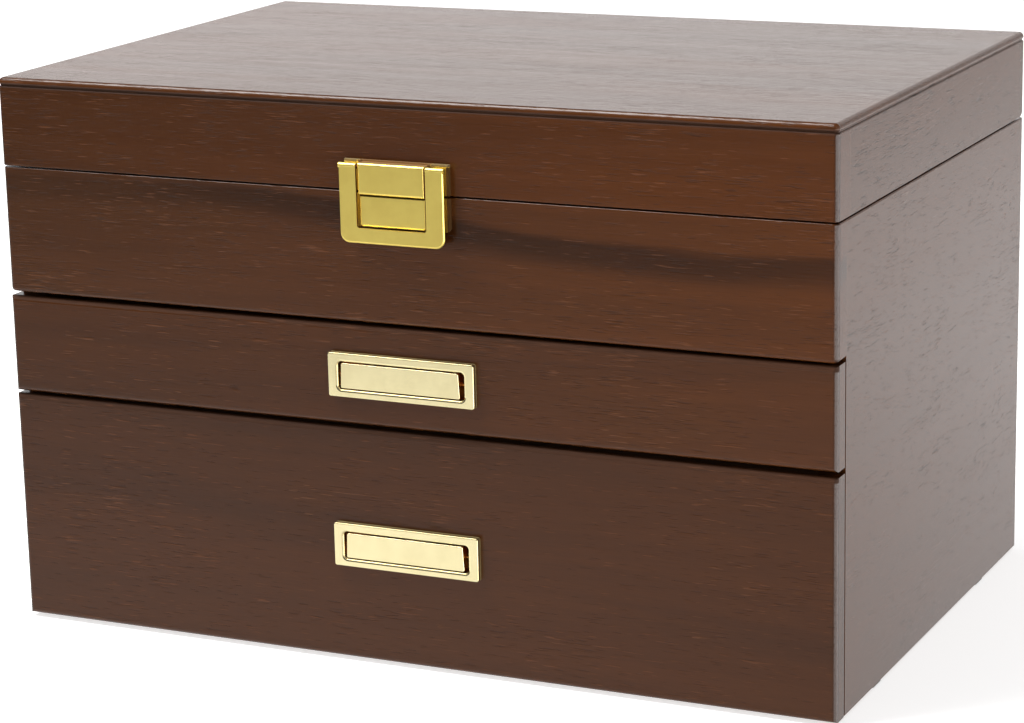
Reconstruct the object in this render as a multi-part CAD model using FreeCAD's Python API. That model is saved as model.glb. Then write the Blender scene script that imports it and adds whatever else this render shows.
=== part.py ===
import FreeCAD, Part
import math
import os

# Jewellery box with a lidded ring compartment above two drawers.
# Millimetres. +Z up, +X to the right seen from the front, the front faces -Y.
# Origin: bottom centre of the whole assembly's box.

V = FreeCAD.Vector
os.makedirs("parts", exist_ok=True)

# ---------------------------------------------------------------- driving dimensions
W = 300.0                 # outside width
D = 200.0                 # front face of the drawer fronts to the back face
LATCH_PROUD = 4.8         # latch in front of the front face
HINGE_PROUD = 0.5         # hinge barrels behind the back face
FOOT_H = 1.5              # foot pads
Z_WOOD = FOOT_H           # underside of the wood
Z_TOP = 192.0             # top of the lid

YF = -(LATCH_PROUD + D + HINGE_PROUD) / 2 + LATCH_PROUD   # front face
YB = YF + D                                               # back face
HW = W / 2

SIDE_T = 9.0              # side panels
BACK_T = 10.0             # back panel
RAIL_T = 8.0              # upper front rail
FRONT_T = 7.65            # drawer fronts
EDGE_R = 1.7              # outside vertical corners
RAIL_R = 2.1              # front corners of the upper front rail
FRONT_R = 1.7             # eased edges of the drawer fronts
RIM_R = 0.5               # eased outer edge on top of the case
LID_RIM_R = 0.3           # eased lower outer edge of the lid
BOTTOM_T = 5.0            # bottom panel
SHELF_T = 4.0             # shelf between the drawers, and the compartment's floor

Z_SEAM = 161.7            # the seam between lid and case
SEAM_GAP = 0.5
Z_CASE_TOP = Z_SEAM - SEAM_GAP * 0.7
Z_LID_BOT = Z_SEAM + SEAM_GAP * 0.3
Z_RAIL_BOT = 117.85       # lower edge of the upper front rail
Z_COMP = 117.7            # underside of the compartment's floor
Z_D1_TOP, Z_D1_BOT = 116.65, 82.9    # upper drawer front, at its middle
D1_RISE = 0.4             # its top and bottom edges rise this much from the middle to the right end
Z_D2_TOP, Z_D2_BOT = 81.4, 1.3       # lower drawer front
Z_SHELF = 80.2            # underside of the shelf between the drawers

# drawer boxes
BOX_T = 6.0               # drawer sides and backs
BOX_BOT_T = 3.0           # drawer bottoms
BOX_HW = 140.5            # half width outside (0.5 mm play each side)
BOX_Y0 = YF + FRONT_T
BOX_Y1 = YF + 189.7
D1_BOX_Z0, D1_BOX_Z1 = Z_SHELF + SHELF_T + 0.3, 113.5
D2_BOX_Z0, D2_BOX_Z1 = Z_WOOD + BOTTOM_T + 0.3, 75.5
LINING_T = 1.0            # fabric-covered card in the drawers and the compartment

# lid
LID_RAIL_T = 9.0
LID_FRONT_T = 10.9        # the lid's front rail laps the ends of its side rails
LID_TOP_T = 2.5
Z_LID_TOP_BOT = Z_TOP - LID_TOP_T
LID_TOP_R = 1.9           # rounded edge of the lid's top panel
LID_BACK_R = 5.0          # lower back edge of the lid, relieved so that it can turn
QUIRK_D, QUIRK_H = 0.5, 0.45    # groove under the top panel, depth and height
QUIRK_R = 0.4             # eased upper edge of the rails below the groove
MIRROR = (230.0, 130.0, 2.0)
TRIM_W, TRIM_T, TRIM_LIP = 9.0, 3.0, 2.5

# lid hinges (two small butt hinges let into the back edge)
HINGE_X = 95.0
HINGE_L = 26.0
HINGE_AXIS_Y = YF + 198.6
HINGE_AXIS_Z = Z_SEAM + 0.6
HINGE_R = 1.9
HINGE_PIN_R = 0.7
HINGE_RUN = 0.05          # radial running clearance on the pins
HINGE_MID = 9.4           # middle knuckle, on the case's leaf
HINGE_GAP = 0.3
LEAF_T = 1.0
LEAF_Y0 = YF + 191.0
LEAF_Y1 = HINGE_AXIS_Y - HINGE_R - 0.4
LEAF_SPLIT = 0.1          # half the gap between the closed leaves

# fittings
FIT_X = 1.0               # latch and pulls sit this far right of the middle

# latch
PLATE_X0, PLATE_X1 = -18.3, 19.2
PLATE_T = 1.0
HASP_HW = 18.75
HASP_T = 0.85
HASP_Z0 = 145.2
HASP_BAR = 5.05
HASP_SLOT_HW = 12.5
HASP_PIN_Z = 170.45
HASP_BARREL_R = 0.95
HASP_PIN_R = 0.5
HASP_STEP = 0.03          # the rolled barrels stand this much proud of the flat legs
HASP_EDGE_R = 0.75        # soft outer edges of the hasp
BLOCK_EDGE_R = 0.8        # soft edges of the raised blocks
HASP_RUN = 0.05
HASP_FRONT = YF - LATCH_PROUD + HASP_STEP
HASP_AXIS_Y = YF - LATCH_PROUD + HASP_BARREL_R
BLOCK_HW = 12.0
LID_BLOCK_FRONT = YF - 4.55
LID_BLOCK_Z0, LID_BLOCK_Z1 = 161.25, 171.55
LID_PLATE_Z1 = 172.1
CATCH_FRONT = HASP_FRONT + HASP_T + 0.12
CATCH_Z0, CATCH_Z1 = 150.65, 160.6
CATCH_PLATE_Z1 = 161.1

# pulls
PULL_HW, PULL_HH = 26.5, 7.4
PULL_PROUD = 2.2
PULL_OPEN_HW, PULL_OPEN_HH = 22.9, 4.65
PULL_OPEN_DZ = -0.2       # the opening sits this much below the frame's middle
PULL_RELIEF = 0.4         # the cup is this much wider all round behind the frame's lip
PULL_WALL = 0.8
PULL_DEPTH = 4.0          # inside of the cup below the wood's face
PULL_FLOOR = 1.3
PULL_CORNER_R = 1.3
PULL_LIP_R = 0.85
FLAP_HW, FLAP_Z0, FLAP_Z1 = 22.1, -4.5, 4.0
FLAP_END = 21.3            # the flap stops short on the right, where a finger gets hold of it
FLAP_DRAFT = 0.3          # each end leans in by this much at the top
FLAP_T = 1.2
FLAP_FRONT = YF - 1.9
FLAP_AXIS_Y = YF + 0.5
FLAP_BOSS_R = 0.9
FLAP_PIN_R = 0.4
FLAP_RUN = 0.05
PULL_Z1 = 99.95           # height of the upper pull
PULL_Z2 = 41.6            # height of the lower pull

# ---------------------------------------------------------------- helpers


def box(x0, x1, y0, y1, z0, z1):
    return Part.makeBox(x1 - x0, y1 - y0, z1 - z0, V(x0, y0, z0))


def cyl_x(x0, x1, y, z, r):
    return Part.makeCylinder(r, x1 - x0, V(x0, y, z), V(1, 0, 0))


def fillet(shape, r, test):
    """Round the edges whose bounding box passes test(x0, x1, y0, y1, z0, z1)."""
    edges = []
    for e in shape.Edges:
        b = e.BoundBox
        if test(b.XMin, b.XMax, b.YMin, b.YMax, b.ZMin, b.ZMax):
            edges.append(e)
    return shape.makeFillet(r, edges) if edges else shape


def chamfer(shape, c, test):
    edges = []
    for e in shape.Edges:
        b = e.BoundBox
        if test(b.XMin, b.XMax, b.YMin, b.YMax, b.ZMin, b.ZMax):
            edges.append(e)
    return shape.makeChamfer(c, edges) if edges else shape


def near(a, b, tol=0.02):
    return abs(a - b) < tol


def round_rect(hw, hh, r, y0, y1, zc=0.0, xc=0.0):
    """Rectangular bar along Y with rounded corners."""
    s = box(xc - hw, xc + hw, y0, y1, zc - hh, zc + hh)
    es = [e for e in s.Edges if near(e.BoundBox.YMax - e.BoundBox.YMin, y1 - y0, 0.05)
          and e.BoundBox.XMax - e.BoundBox.XMin < 0.05 and e.BoundBox.ZMax - e.BoundBox.ZMin < 0.05]
    return s.makeFillet(r, es)


def round_plan(x0, x1, y0, y1, z0, z1, r):
    """Upright block with rounded vertical edges."""
    s = box(x0, x1, y0, y1, z0, z1)
    es = [e for e in s.Edges if e.BoundBox.ZMax - e.BoundBox.ZMin > (z1 - z0) - 0.05
          and e.BoundBox.XMax - e.BoundBox.XMin < 0.05 and e.BoundBox.YMax - e.BoundBox.YMin < 0.05]
    return s.makeFillet(r, es)


def tray(x0, x1, y0, y1, z0, z1, t):
    """Open-topped liner: a floor and four walls of thickness t."""
    return box(x0, x1, y0, y1, z0, z1).cut(box(x0 + t, x1 - t, y0 + t, y1 - t, z0 + t, z1 + 1))


def csk_screw(x, y, z, length, up):
    """Countersunk screw whose head is flush at z; it points up or down."""
    s = 1 if up else -1
    head = Part.makeCone(1.5, 0.75, 0.9, V(x, y, z), V(0, 0, s))
    shank = Part.makeCylinder(0.75, length - 0.9 - 0.9, V(x, y, z + s * 0.9), V(0, 0, s))
    tip = Part.makeCone(0.75, 0.15, 0.9, V(x, y, z + s * (length - 0.9)), V(0, 0, s))
    return head.fuse([shank, tip]).removeSplitter()


def across(shapes):
    """The fittings are drawn about X = 0 and set across by FIT_X."""
    if isinstance(shapes, (list, tuple)):
        return [s.translated(V(FIT_X, 0, 0)) for s in shapes]
    return shapes.translated(V(FIT_X, 0, 0))


def save(name, shape):
    if isinstance(shape, (list, tuple)):
        shape = Part.makeCompound(list(shape))
    solids = shape.Solids
    assert solids, name
    for s in solids:
        assert s.isValid() and s.Volume > 0, name
    out = solids[0] if len(solids) == 1 else Part.makeCompound(solids)
    out.exportStep("parts/%s.step" % name)
    print("%-26s solids %d volume %.1f mm3" % (name, len(solids), sum(s.Volume for s in solids)))
    return out


# ---------------------------------------------------------------- case
case_env = round_plan(-HW, HW, YF, YB, Z_WOOD, Z_CASE_TOP, EDGE_R)
# outer top edges eased all round, in one chain with the corner arcs
case_env = fillet(case_env, RIM_R, lambda x0, x1, y0, y1, z0, z1: near(z0, Z_CASE_TOP) and near(z1, Z_CASE_TOP))

# hinge mortises in the case's back edge: a groove for the barrel and a seat for the leaf
hinge_case_cut = []
hinge_lid_cut = []
for hx in (-HINGE_X, HINGE_X):
    x0, x1 = hx - HINGE_L / 2 - 0.3, hx + HINGE_L / 2 + 0.3
    groove = cyl_x(x0, x1, HINGE_AXIS_Y, HINGE_AXIS_Z, HINGE_R + 0.35)
    back = box(x0, x1, HINGE_AXIS_Y, YB + 5, HINGE_AXIS_Z - HINGE_R - 0.35, HINGE_AXIS_Z + HINGE_R + 0.35)
    seat_case = box(x0, x1, LEAF_Y0 - 0.1, HINGE_AXIS_Y, Z_SEAM - LEAF_SPLIT - LEAF_T, Z_SEAM + 1)
    seat_lid = box(x0, x1, LEAF_Y0 - 0.1, HINGE_AXIS_Y, Z_SEAM - 1, Z_SEAM + LEAF_SPLIT + LEAF_T)
    hinge_case_cut += [groove, back, seat_case]
    hinge_lid_cut += [groove, back, seat_lid]

screw_x = [hx + dx for hx in (-HINGE_X, HINGE_X) for dx in (-8.5, 8.5)]
SCREW_Y = (LEAF_Y0 + LEAF_Y1) / 2 + 0.1
body_screws = [csk_screw(x, SCREW_Y, Z_SEAM - LEAF_SPLIT, 8.0, False) for x in screw_x]
lid_screws = [csk_screw(x, SCREW_Y, Z_SEAM + LEAF_SPLIT, 8.0, True) for x in screw_x]

side_left = box(-HW, -HW + SIDE_T, YF + RAIL_T, YB, Z_WOOD, Z_CASE_TOP).common(case_env)
side_right = box(HW - SIDE_T, HW, YF + RAIL_T, YB, Z_WOOD, Z_CASE_TOP).common(case_env)
save("side_panel_left", side_left)
save("side_panel_right", side_right)

IN_HW = HW - SIDE_T
back_panel = box(-IN_HW, IN_HW, YB - BACK_T, YB, Z_WOOD, Z_CASE_TOP).common(case_env)
back_panel = back_panel.cut(hinge_case_cut).cut(body_screws)
save("back_panel", back_panel)
save("bottom_panel", box(-IN_HW, IN_HW, YF + RAIL_T, YB - BACK_T, Z_WOOD, Z_WOOD + BOTTOM_T))
save("drawer_shelf", box(-IN_HW, IN_HW, YF + RAIL_T, YB - BACK_T, Z_SHELF, Z_SHELF + SHELF_T))
save("compartment_floor", box(-IN_HW, IN_HW, YF + RAIL_T, YB - BACK_T, Z_COMP, Z_COMP + SHELF_T))

# ---- latch nails (plain round nails with low heads), behind the hasp's legs
NAIL_X = 15.5
NAIL_L = 6.0


def nail(x, z):
    head = Part.makeCylinder(1.1, 0.5, V(x, YF - PLATE_T - 0.5, z), V(0, 1, 0))
    head = fillet(head, 0.3, lambda x0, x1, y0, y1, z0, z1: near(y0, YF - PLATE_T - 0.5) and near(y1, y0))
    shank = Part.makeCylinder(0.5, NAIL_L + PLATE_T, V(x, YF - PLATE_T, z), V(0, 1, 0))
    return head.fuse(shank).removeSplitter()


catch_nails = [nail(x, 155.8) for x in (-NAIL_X, NAIL_X)]
lid_nails = [nail(x, 165.6) for x in (-NAIL_X, NAIL_X)]

rail_env = round_plan(-HW, HW, YF, YB, Z_WOOD, Z_CASE_TOP, RAIL_R)
rail_env = fillet(rail_env, RIM_R, lambda x0, x1, y0, y1, z0, z1: near(z0, Z_CASE_TOP) and near(z1, Z_CASE_TOP))
rail = box(-HW, HW, YF, YF + RAIL_T, Z_RAIL_BOT, Z_CASE_TOP).common(rail_env)
rail = fillet(rail, 1.3, lambda x0, x1, y0, y1, z0, z1:
              near(z0, Z_RAIL_BOT) and near(z1, Z_RAIL_BOT) and near(y0, YF) and near(y1, YF))
save("upper_front_rail", rail.cut(across(catch_nails)))

# ---- foot pads: thin square pads close to the sides
pads = []
for sx in (-1, 1):
    for yc in (YF + 43.0, YB - 43.0):
        pads.append(round_plan(sx * 144.5 - 4.5, sx * 144.5 + 4.5, yc - 4.5, yc + 4.5, 0.0, FOOT_H, 1.0))
save("foot_pads", pads)

# ---- inside of the top compartment
C_Y0, C_Y1 = YF + RAIL_T, YB - BACK_T
C_Z0 = Z_COMP + SHELF_T
save("compartment_lining", tray(-IN_HW, IN_HW, C_Y0, C_Y1, C_Z0, Z_CASE_TOP - 2.5, LINING_T))
DIV_X, DIV_T, DIV_H = 71.5, 3.0, 30.0
dividers = []
for sx in (-1, 1):
    d = box(sx * DIV_X - DIV_T / 2, sx * DIV_X + DIV_T / 2, C_Y0 + LINING_T, C_Y1 - LINING_T,
            C_Z0 + LINING_T, C_Z0 + LINING_T + DIV_H)
    d = fillet(d, 1.2, lambda x0, x1, y0, y1, z0, z1:
               near(z0, C_Z0 + LINING_T + DIV_H) and near(z1, z0) and y1 - y0 > 50)
    dividers.append(d)
save("compartment_dividers", dividers)

# ring rolls: padded rolls side by side, flat underneath
ROLL_N, ROLL_R, ROLL_HL = 9, 9.2, 69.3
rolls = []
span = (C_Y1 - LINING_T) - (C_Y0 + LINING_T)
pitch = span / ROLL_N
for i in range(ROLL_N):
    yc = C_Y0 + LINING_T + pitch * (i + 0.5)
    r = cyl_x(-ROLL_HL, ROLL_HL, yc, C_Z0 + LINING_T + ROLL_R - 0.8, ROLL_R)
    r = r.cut(box(-ROLL_HL - 1, ROLL_HL + 1, yc - 20, yc + 20, C_Z0 - 5, C_Z0 + LINING_T + 0.3))
    rolls.append(r)
save("ring_rolls", rolls)

# ---------------------------------------------------------------- lid
lid_env = round_plan(-HW, HW, YF, YB, Z_LID_BOT, Z_TOP, EDGE_R)
lid_env = fillet(lid_env, LID_TOP_R - 0.25, lambda x0, x1, y0, y1, z0, z1: near(z0, Z_TOP) and near(z1, Z_TOP))
lid_env = fillet(lid_env, LID_RIM_R, lambda x0, x1, y0, y1, z0, z1: near(z0, Z_LID_BOT) and near(z1, Z_LID_BOT))
# lower back edge relieved along its whole length
relief = box(-HW - 1, HW + 1, YB - LID_BACK_R, YB + 1, Z_LID_BOT - 1, Z_LID_BOT + LID_BACK_R).cut(
    cyl_x(-HW - 1, HW + 1, YB - LID_BACK_R, Z_LID_BOT + LID_BACK_R, LID_BACK_R))
lid_env = lid_env.cut(relief)

z_groove = Z_LID_TOP_BOT - QUIRK_H
q0 = round_plan(-HW - 1, HW + 1, YF - 1, YB + 1, z_groove, Z_LID_TOP_BOT + 1, EDGE_R + 1).cut(
    round_plan(-HW + QUIRK_D, HW - QUIRK_D, YF + QUIRK_D, YB - QUIRK_D, z_groove - 2, Z_LID_TOP_BOT + 2,
               EDGE_R - QUIRK_D))
rails_env = lid_env.common(box(-HW, HW, YF, YB, Z_LID_BOT, Z_LID_TOP_BOT)).cut(q0)
rails_env = fillet(rails_env, QUIRK_R, lambda x0, x1, y0, y1, z0, z1: near(z0, z_groove) and near(z1, z_groove)
                   and (near(x1, HW) or near(x0, -HW) or near(y0, YF) or near(y1, YB)))
T = LID_RAIL_T
TF = LID_FRONT_T
plan = {
    "lid_front_rail": (-HW, HW, YF, YF + TF),
    "lid_back_rail": (-HW + T, HW - T, YB - T, YB),
    "lid_left_rail": (-HW, -HW + T, YF + TF, YB),
    "lid_right_rail": (HW - T, HW, YF + TF, YB),
}
for name, (x0, x1, y0, y1) in plan.items():
    p = box(x0, x1, y0, y1, Z_LID_BOT, Z_LID_TOP_BOT).common(rails_env)
    if name == "lid_back_rail":
        p = p.cut(hinge_lid_cut).cut(lid_screws)
    if name == "lid_front_rail":
        p = p.cut(across(lid_nails))
    save(name, p)
top_panel = box(-HW, HW, YF, YB, Z_LID_TOP_BOT, Z_TOP).common(lid_env)
top_panel = fillet(top_panel, 0.75, lambda x0, x1, y0, y1, z0, z1: near(z0, Z_LID_TOP_BOT) and near(z1, Z_LID_TOP_BOT))
save("lid_top_panel", top_panel)

L_HW = HW - T
lining = box(-L_HW, L_HW, YF + TF, YB - T, Z_LID_BOT + 2.5, Z_LID_TOP_BOT).cut(
    box(-L_HW + LINING_T, L_HW - LINING_T, YF + TF + LINING_T, YB - T - LINING_T, Z_LID_BOT, Z_LID_TOP_BOT - LINING_T))
save("lid_lining", lining)
Z_M1 = Z_LID_TOP_BOT - LINING_T
YM = (YF + TF + YB - T) / 2
mx, my, mt = MIRROR[0] / 2, MIRROR[1] / 2, MIRROR[2]
mirror = box(-mx, mx, YM - my, YM + my, Z_M1 - mt, Z_M1)
mirror = chamfer(mirror, 0.4, lambda x0, x1, y0, y1, z0, z1: near(z0, Z_M1 - mt) and near(z1, z0))
save("lid_mirror", mirror)
trim = box(-mx - TRIM_W + TRIM_LIP, mx + TRIM_W - TRIM_LIP, YM - my - TRIM_W + TRIM_LIP, YM + my + TRIM_W - TRIM_LIP,
           Z_M1 - TRIM_T, Z_M1)
trim = fillet(trim, 1.2, lambda x0, x1, y0, y1, z0, z1: near(z0, Z_M1 - TRIM_T) and near(z1, z0))
trim = trim.cut(box(-mx + TRIM_LIP, mx - TRIM_LIP, YM - my + TRIM_LIP, YM + my - TRIM_LIP, Z_M1 - 10, Z_M1 + 1))
trim = trim.cut(box(-mx - 0.05, mx + 0.05, YM - my - 0.05, YM + my + 0.05, Z_M1 - mt - 0.05, Z_M1 + 1))
save("lid_mirror_trim", trim)

# ---------------------------------------------------------------- lid hinges
case_leaves, lid_leaves, pins = [], [], []
for hx in (-HINGE_X, HINGE_X):
    x0, x1 = hx - HINGE_L / 2, hx + HINGE_L / 2
    m0, m1 = hx - HINGE_MID / 2, hx + HINGE_MID / 2
    ay, az = HINGE_AXIS_Y, HINGE_AXIS_Z
    zt = Z_SEAM - LEAF_SPLIT
    leaf = box(x0, x1, LEAF_Y0, LEAF_Y1, zt - LEAF_T, zt)
    leaf = leaf.fuse(box(m0, m1, LEAF_Y1, ay, zt - LEAF_T, zt)).fuse(cyl_x(m0, m1, ay, az, HINGE_R))
    leaf = leaf.cut(cyl_x(m0 - 1, m1 + 1, ay, az, HINGE_PIN_R))
    leaf = leaf.cut([s for s, x in zip(body_screws, screw_x) if x0 < x < x1]).removeSplitter()
    case_leaves.append(leaf)
    zb = Z_SEAM + LEAF_SPLIT
    leaf = box(x0, x1, LEAF_Y0, LEAF_Y1, zb, zb + LEAF_T)
    for a, b in ((x0, m0 - HINGE_GAP), (m1 + HINGE_GAP, x1)):
        leaf = leaf.fuse(box(a, b, LEAF_Y1, ay, zb, zb + LEAF_T)).fuse(cyl_x(a, b, ay, az, HINGE_R))
    leaf = leaf.cut(cyl_x(x0 - 1, x1 + 1, ay, az, HINGE_PIN_R + HINGE_RUN))
    leaf = leaf.cut([s for s, x in zip(lid_screws, screw_x) if x0 < x < x1]).removeSplitter()
    lid_leaves.append(leaf)
    pins.append(cyl_x(x0, x1, ay, az, HINGE_PIN_R))
save("hinge_case_leaves", case_leaves)
save("hinge_lid_leaves", lid_leaves)
save("hinge_pins", pins)
save("hinge_case_screws", body_screws)
save("hinge_lid_screws", lid_screws)

# ---------------------------------------------------------------- latch
# plate on the case with the raised catch block
plate = box(PLATE_X0, PLATE_X1, YF - PLATE_T, YF, 150.1, CATCH_PLATE_Z1)
plate = fillet(plate, 1.5, lambda x0, x1, y0, y1, z0, z1: near(z0, 150.1) and near(z1, 150.1)
               and near(x0, x1) and abs(x0) > 10 and y1 - y0 > 0.5)
blk = box(-BLOCK_HW, BLOCK_HW, CATCH_FRONT, YF - PLATE_T, CATCH_Z0, CATCH_Z1)
blk = fillet(blk, 1.2, lambda x0, x1, y0, y1, z0, z1: near(z0, CATCH_Z0) and near(z1, z0) and near(x0, x1))
blk = fillet(blk, BLOCK_EDGE_R, lambda x0, x1, y0, y1, z0, z1: near(y0, CATCH_FRONT) and near(y1, CATCH_FRONT)
             and not (near(z0, CATCH_Z1) and near(z1, CATCH_Z1)))
save("latch_catch_plate", across(plate.fuse(blk).cut(catch_nails).removeSplitter()))
save("latch_catch_nails", across(catch_nails))

# plate on the lid: raised block, a lip over each barrel, and the bore for the cross pin
plate = box(PLATE_X0, PLATE_X1, YF - PLATE_T, YF, Z_LID_BOT + 0.1, LID_PLATE_Z1)
lips = [box(PLATE_X0 + 1.2, -BLOCK_HW, YF - 1.9, YF - PLATE_T + 0.1, LID_PLATE_Z1 - 0.65, LID_PLATE_Z1),
        box(BLOCK_HW, PLATE_X1, YF - 1.9, YF - PLATE_T + 0.1, LID_PLATE_Z1 - 0.65, LID_PLATE_Z1)]
blk = box(-BLOCK_HW, BLOCK_HW, LID_BLOCK_FRONT, YF - PLATE_T, LID_BLOCK_Z0, LID_BLOCK_Z1)
blk = fillet(blk, BLOCK_EDGE_R, lambda x0, x1, y0, y1, z0, z1: near(y0, LID_BLOCK_FRONT) and near(y1, LID_BLOCK_FRONT))
lid_plate = plate.fuse(lips).fuse(blk)
lid_plate = lid_plate.cut(cyl_x(-30, 30, HASP_AXIS_Y, HASP_PIN_Z, HASP_PIN_R)).cut(lid_nails).removeSplitter()
save("latch_lid_plate", across(lid_plate))
save("latch_lid_nails", across(lid_nails))
pin = cyl_x(-HASP_HW - 0.15, HASP_HW + 0.15, HASP_AXIS_Y, HASP_PIN_Z, HASP_PIN_R)
pin = fillet(pin, 0.25, lambda x0, x1, y0, y1, z0, z1: near(x0, x1) and y1 - y0 > 1.0)
save("latch_pin", across(pin))

# U-shaped hasp: flat legs and bar, each leg rolled round the pin at its top
hf = HASP_FRONT
outer = box(-HASP_HW, HASP_HW, hf, hf + HASP_T, HASP_Z0, HASP_PIN_Z)
outer = fillet(outer, 3.3, lambda x0, x1, y0, y1, z0, z1: near(z0, HASP_Z0) and near(z1, HASP_Z0)
               and near(x0, x1) and y1 - y0 > 0.5)
outer = fillet(outer, HASP_EDGE_R, lambda x0, x1, y0, y1, z0, z1: near(y0, hf) and near(y1, hf)
               and not (near(z0, HASP_PIN_Z) and near(z1, HASP_PIN_Z)))
slot = box(-HASP_SLOT_HW, HASP_SLOT_HW, hf - 1, hf + 3, HASP_Z0 + HASP_BAR, HASP_PIN_Z + 5)
slot = fillet(slot, 1.1, lambda x0, x1, y0, y1, z0, z1: near(z0, HASP_Z0 + HASP_BAR) and near(z1, z0)
              and near(x0, x1))
hasp = outer.cut(slot)
for a, b in ((-HASP_HW, -HASP_SLOT_HW), (HASP_SLOT_HW, HASP_HW)):
    hasp = hasp.fuse(cyl_x(a, b, HASP_AXIS_Y, HASP_PIN_Z, HASP_BARREL_R))
hasp = hasp.cut(cyl_x(-30, 30, HASP_AXIS_Y, HASP_PIN_Z, HASP_PIN_R + HASP_RUN)).removeSplitter()
save("latch_hasp", across(hasp))

# ---------------------------------------------------------------- drawers


def pull(prefix, zc):
    """Flush pull: a frame with a cup let into the drawer front, and a flap that tilts in it."""
    y_floor = YF + PULL_DEPTH
    zo = zc + PULL_OPEN_DZ
    chw, chh, ccr = PULL_OPEN_HW + PULL_RELIEF, PULL_OPEN_HH + PULL_RELIEF, PULL_CORNER_R + PULL_RELIEF
    bezel = box(-PULL_HW, PULL_HW, YF - PULL_PROUD, YF, zc - PULL_HH, zc + PULL_HH)
    bezel = fillet(bezel, 0.7, lambda x0, x1, y0, y1, z0, z1: near(x0, x1) and near(z0, z1) and y1 - y0 > 1)
    bezel = fillet(bezel, 0.3, lambda x0, x1, y0, y1, z0, z1: near(y0, YF - PULL_PROUD) and near(y1, y0))
    bezel = bezel.cut(round_rect(PULL_OPEN_HW, PULL_OPEN_HH, PULL_CORNER_R, YF - PULL_PROUD - 1, YF + 1, zo))
    # soft inner edge of the frame
    bezel = fillet(bezel, PULL_LIP_R, lambda x0, x1, y0, y1, z0, z1: near(y0, YF - PULL_PROUD) and near(y1, y0)
                   and x0 > -PULL_OPEN_HW - 0.1 and x1 < PULL_OPEN_HW + 0.1
                   and z0 > zo - PULL_OPEN_HH - 0.1 and z1 < zo + PULL_OPEN_HH + 0.1)
    bezel = bezel.cut(round_rect(chw, chh, ccr, YF - 1.0, YF + 1, zo))
    cup = round_rect(chw + PULL_WALL, chh + PULL_WALL, ccr + PULL_WALL, YF, y_floor + PULL_FLOOR, zo)
    cup = cup.cut(round_rect(chw, chh, ccr, YF - 1, y_floor, zo))
    screws = []
    for sx in (-1, 1):
        x = sx * 20.0
        yb = YF + FRONT_T
        head = Part.makeCone(1.9, 1.0, 0.9, V(x, yb, zc), V(0, -1, 0))
        shank = Part.makeCylinder(1.0, yb - 0.9 - (y_floor + 0.4), V(x, yb - 0.9, zc), V(0, -1, 0))
        screws.append(head.fuse(shank).removeSplitter())
    pin = cyl_x(-chw - PULL_WALL + 0.1, chw + PULL_WALL - 0.1, FLAP_AXIS_Y, zc, FLAP_PIN_R)
    housing = bezel.fuse(cup).cut(pin).cut(screws).removeSplitter()
    save(prefix + "_pull_housing", across(housing))
    save(prefix + "_pull_pin", across(pin))
    save(prefix + "_pull_screws", across(screws))
    zb, zt, ht = zc + FLAP_Z0, zc + FLAP_Z1, FLAP_HW - FLAP_DRAFT
    et = FLAP_END - FLAP_DRAFT - 0.2
    wire = Part.makePolygon([V(-FLAP_HW, FLAP_FRONT, zb), V(FLAP_END, FLAP_FRONT, zb), V(et, FLAP_FRONT, zt),
                             V(-ht, FLAP_FRONT, zt), V(-FLAP_HW, FLAP_FRONT, zb)])
    flap = Part.Face(wire).extrude(V(0, FLAP_T, 0))
    flap = fillet(flap, 0.5, lambda x0, x1, y0, y1, z0, z1: abs(x0 - x1) < 0.05 and near(z0, z1) and y1 - y0 > 1)
    flap = fillet(flap, 0.2, lambda x0, x1, y0, y1, z0, z1: near(y0, FLAP_FRONT) and near(y1, y0))
    boss = cyl_x(-FLAP_HW + 0.6, FLAP_END - 0.6, FLAP_AXIS_Y, zc, FLAP_BOSS_R)
    web = box(-FLAP_HW + 0.6, FLAP_END - 0.6, FLAP_FRONT + FLAP_T - 0.2, FLAP_AXIS_Y, zc - FLAP_BOSS_R, zc + FLAP_BOSS_R)
    flap = flap.fuse([web, boss]).cut(cyl_x(-30, 30, FLAP_AXIS_Y, zc, FLAP_PIN_R + FLAP_RUN)).removeSplitter()
    save(prefix + "_pull_flap", across(flap))
    recess = round_rect(chw + PULL_WALL, chh + PULL_WALL, ccr + PULL_WALL, YF - 5, y_floor + PULL_FLOOR, zo)
    return across(recess), across(screws)


def drawer(prefix, z0, z1, bz0, bz1, zc, rise=0.0):
    outline = Part.makePolygon([V(-HW, YF, z0 - rise), V(HW, YF, z0 + rise), V(HW, YF, z1 + rise),
                                V(-HW, YF, z1 - rise), V(-HW, YF, z0 - rise)])
    front = Part.Face(outline).extrude(V(0, FRONT_T, 0))
    front = fillet(front, FRONT_R, lambda x0, x1, y0, y1, a, b: near(y0, YF) and near(y1, YF))
    front = fillet(front, 0.5, lambda x0, x1, y0, y1, a, b: near(y0, YF + FRONT_T) and near(y1, YF + FRONT_T))
    recess, screws = pull(prefix, zc)
    save(prefix + "_drawer_front", front.cut(recess).cut(screws))
    save(prefix + "_drawer_side_left", box(-BOX_HW, -BOX_HW + BOX_T, BOX_Y0, BOX_Y1, bz0, bz1))
    save(prefix + "_drawer_side_right", box(BOX_HW - BOX_T, BOX_HW, BOX_Y0, BOX_Y1, bz0, bz1))
    ihw = BOX_HW - BOX_T
    save(prefix + "_drawer_back", box(-ihw, ihw, BOX_Y1 - BOX_T, BOX_Y1, bz0, bz1))
    save(prefix + "_drawer_bottom", box(-ihw, ihw, BOX_Y0, BOX_Y1 - BOX_T, bz0, bz0 + BOX_BOT_T))
    save(prefix + "_drawer_lining",
         tray(-ihw, ihw, BOX_Y0, BOX_Y1 - BOX_T, bz0 + BOX_BOT_T, bz1 - 1.5, LINING_T))
    return ihw, bz0 + BOX_BOT_T + LINING_T


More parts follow.
